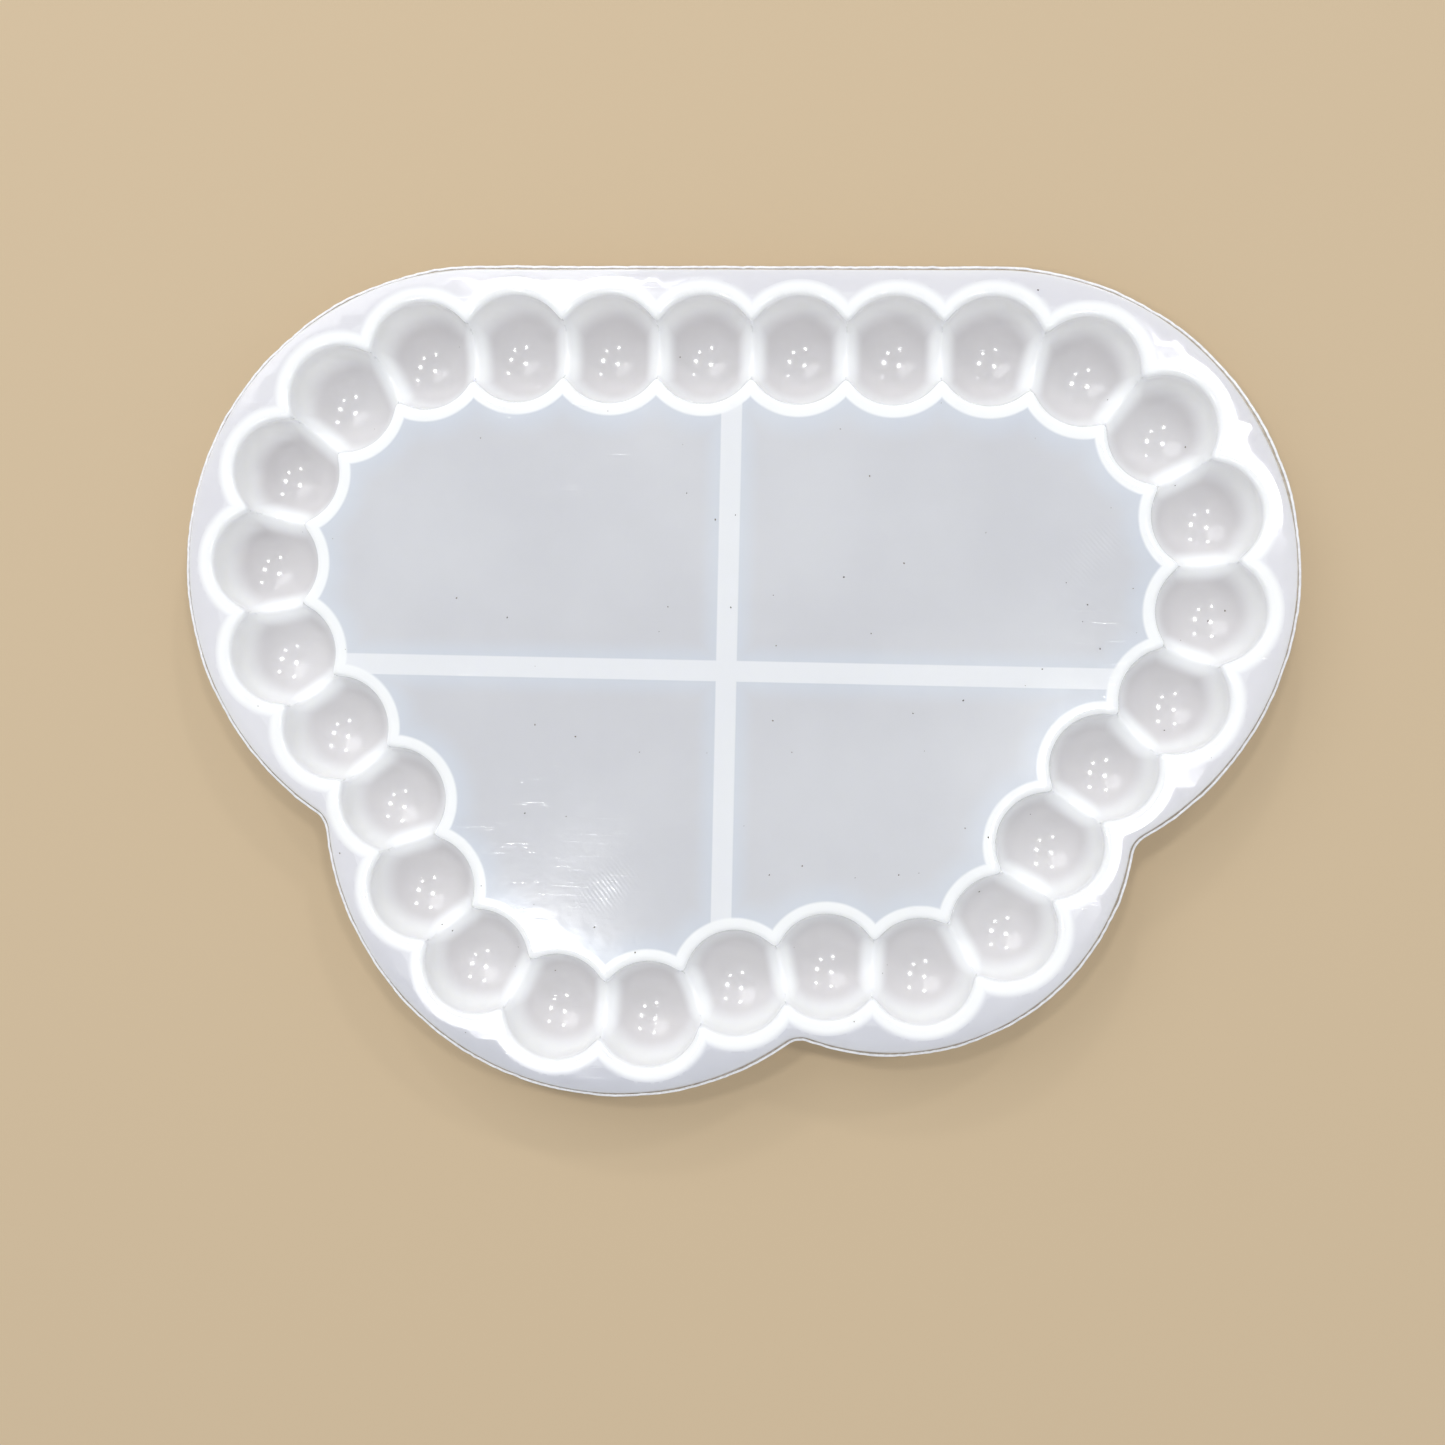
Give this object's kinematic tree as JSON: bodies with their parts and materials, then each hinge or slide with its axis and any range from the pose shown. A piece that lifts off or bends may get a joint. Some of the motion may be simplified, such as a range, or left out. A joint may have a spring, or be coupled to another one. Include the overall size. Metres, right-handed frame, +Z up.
{
  "type": "silicone soap mould",
  "caption": "Cloud-shaped milky silicone mould: a ring of round bead cups about a shallow tray floor carried by a cross of ribs, with a flat flange.",
  "frame": {"origin": "centre of the footprint, on the plane that the mould rests on", "axes": "+X along the straight rear edge, which is the long way; +Y towards the straight rear edge; +Z up, the pouring side"},
  "size_m": [0.201, 0.1508, 0.0135],
  "materials": {
    "silicone": "glossy milky translucent silicone, near white where it is thick and cool grey where it is thin"
  },
  "bodies": {
    "root": {"bead_cup_01": "silicone", "bead_cup_02": "silicone", "bead_cup_03": "silicone", "bead_cup_04": "silicone", "bead_cup_05": "silicone", "bead_cup_06": "silicone", "bead_cup_07": "silicone", "bead_cup_08": "silicone", "bead_cup_09": "silicone", "bead_cup_10": "silicone", "bead_cup_11": "silicone", "bead_cup_12": "silicone", "bead_cup_13": "silicone", "bead_cup_14": "silicone", "bead_cup_15": "silicone", "bead_cup_16": "silicone", "bead_cup_17": "silicone", "bead_cup_18": "silicone", "bead_cup_19": "silicone", "bead_cup_20": "silicone", "bead_cup_21": "silicone", "bead_cup_22": "silicone", "bead_cup_23": "silicone", "bead_cup_24": "silicone", "bead_cup_25": "silicone", "bead_cup_26": "silicone", "bead_cup_27": "silicone", "bead_cup_28": "silicone", "flange_rear": "silicone", "flange_left": "silicone", "flange_front_left": "silicone", "flange_front_right": "silicone", "flange_right": "silicone", "tray_floor_rear_left": "silicone", "tray_floor_rear_right": "silicone", "tray_floor_front_left": "silicone", "tray_floor_front_right": "silicone", "rib_hub": "silicone", "rib_left": "silicone", "rib_right": "silicone", "rib_front": "silicone", "rib_rear": "silicone"}
  },
  "joints": []
}
